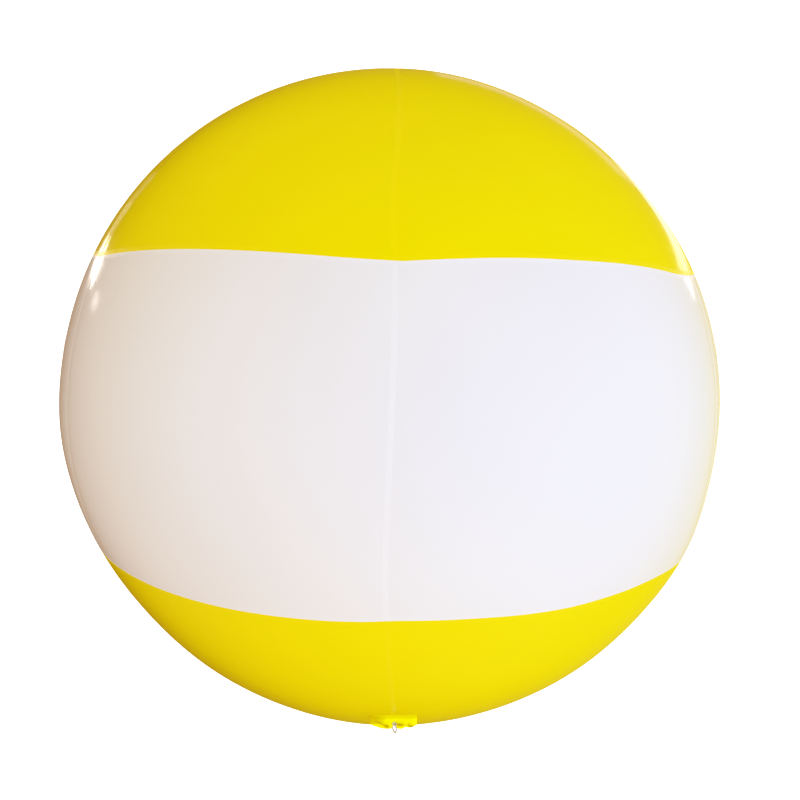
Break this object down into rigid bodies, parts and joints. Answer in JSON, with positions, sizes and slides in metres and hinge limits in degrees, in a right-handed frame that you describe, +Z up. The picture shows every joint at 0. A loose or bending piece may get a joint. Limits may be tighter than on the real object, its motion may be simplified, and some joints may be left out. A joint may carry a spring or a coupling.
{
  "type": "inflated advertising balloon, round",
  "caption": "Round inflated advertising balloon with yellow ends and a blank white band, welded gores, tether tabs with rings below and a lidded filling valve at the bottom.",
  "frame": {"origin": "centre of the round envelope, where the air carries the balloon", "axes": "+Z up through the polar caps, -Y towards the front seam and the first tether tab, +X to the right seen from the front"},
  "size_m": [2, 2, 2.0347],
  "materials": {
    "yellow_film": "glossy flexible film",
    "white_film": "glossy flexible film",
    "valve_plastic": "moulded, satin",
    "steel": "plated wire"
  },
  "bodies": {
    "envelope": {"upper_panel_1": "yellow_film", "upper_panel_2": "yellow_film", "upper_panel_3": "yellow_film", "upper_panel_4": "yellow_film", "upper_panel_5": "yellow_film", "upper_panel_6": "yellow_film", "band_panel_1": "white_film", "band_panel_2": "white_film", "band_panel_3": "white_film", "band_panel_4": "white_film", "band_panel_5": "white_film", "band_panel_6": "white_film", "lower_panel_1": "yellow_film", "lower_panel_2": "yellow_film", "lower_panel_3": "yellow_film", "lower_panel_4": "yellow_film", "lower_panel_5": "yellow_film", "lower_panel_6": "yellow_film", "top_polar_cap": "yellow_film", "bottom_polar_cap": "yellow_film", "valve_body": "valve_plastic", "tether_tab_1": "yellow_film", "tether_tab_2": "yellow_film", "tether_tab_3": "yellow_film", "tether_eyelet_1": "steel", "tether_eyelet_2": "steel", "tether_eyelet_3": "steel"},
    "lid": {"valve_lid": "valve_plastic"},
    "ring_front": {"tether_ring_1": "steel"},
    "ring_right": {"tether_ring_2": "steel"},
    "ring_left": {"tether_ring_3": "steel"}
  },
  "joints": [
    {"name": "valve_lid_hinge", "type": "hinge", "parent": "envelope", "child": "lid", "pos_m": [0, 0.031, -1.0299], "axis": [1, 0, 0], "range_deg": [0, 120]},
    {"name": "ring_front_swing", "type": "hinge", "parent": "envelope", "child": "ring_front", "pos_m": [0, -0.66562, -0.77031], "axis": [0, -1, 0], "range_deg": [-40, 40]},
    {"name": "ring_right_swing", "type": "hinge", "parent": "envelope", "child": "ring_right", "pos_m": [0.57644, 0.33281, -0.77031], "axis": [0.866, 0.5, 0], "range_deg": [-40, 40]},
    {"name": "ring_left_swing", "type": "hinge", "parent": "envelope", "child": "ring_left", "pos_m": [-0.57644, 0.33281, -0.77031], "axis": [-0.866, 0.5, 0], "range_deg": [-40, 40]}
  ]
}
